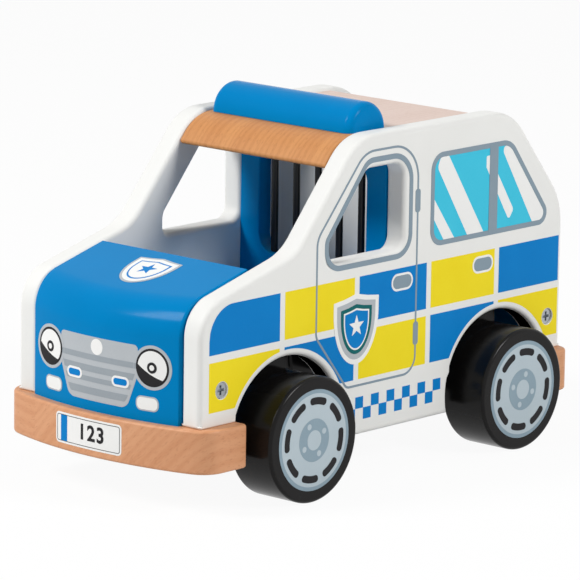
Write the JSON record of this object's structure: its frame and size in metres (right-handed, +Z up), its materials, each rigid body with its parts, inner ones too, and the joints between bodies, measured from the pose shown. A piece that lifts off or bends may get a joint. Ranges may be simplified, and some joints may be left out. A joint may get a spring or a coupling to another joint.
{
  "type": "toy police car",
  "caption": "Wooden toy police car with board sides, a blue bonnet block, a light bar, a barred cell, a drop-down tailgate and wheels that turn with their axles.",
  "frame": {"origin": "on the ground under the middle of the car's length and width", "axes": "+Z up, front of the car towards -Y, the car's left side towards +X"},
  "size_m": [0.14, 0.2606, 0.1637],
  "materials": {
    "white_paint": "satin paint on board",
    "blue_paint": "semi-gloss paint on wood",
    "beech": "clear lacquered beech",
    "pale_beech": "clear lacquered pale beech",
    "black_paint": "semi-gloss black paint",
    "black_rod": "black enamel",
    "steel": "bright zinc",
    "nylon": "natural nylon"
  },
  "bodies": {
    "body": {"left_side_panel": "white_paint", "right_side_panel": "white_paint", "bonnet_block": "blue_paint", "light_bar": "blue_paint", "cell_partition": "blue_paint", "floor_panel": "blue_paint", "rear_rail": "blue_paint", "front_bumper": "beech", "rear_bumper": "beech", "windscreen_header": "beech", "light_bar_dowels": "beech", "roof_dowels": "beech", "beam_dowels": "beech", "roof_panel": "pale_beech", "front_axle_beam": "black_paint", "rear_axle_beam": "black_paint", "cell_bars": "black_rod", "side_screws": "steel", "bumper_screws": "steel"},
    "front_axle_set": {"front_axle": "steel", "front_left_wheel": "black_paint", "front_right_wheel": "black_paint", "front_washers": "nylon"},
    "rear_axle_set": {"rear_axle": "steel", "rear_left_wheel": "black_paint", "rear_right_wheel": "black_paint", "rear_washers": "nylon"},
    "tailgate": {"tailgate": "blue_paint", "tailgate_pins": "steel", "tailgate_knob": "beech"}
  },
  "joints": [
    {"name": "front_axle_spin", "type": "hinge", "parent": "body", "child": "front_axle_set", "pos_m": [0, -0.06425, 0.02775], "axis": [1, 0, 0], "continuous": true},
    {"name": "rear_axle_spin", "type": "hinge", "parent": "body", "child": "rear_axle_set", "pos_m": [0, 0.07575, 0.02775], "axis": [1, 0, 0], "continuous": true},
    {"name": "tailgate_drop", "type": "hinge", "parent": "body", "child": "tailgate", "pos_m": [0, 0.11535, 0.0666], "axis": [-1, 0, 0], "range_deg": [0, 90]}
  ]
}
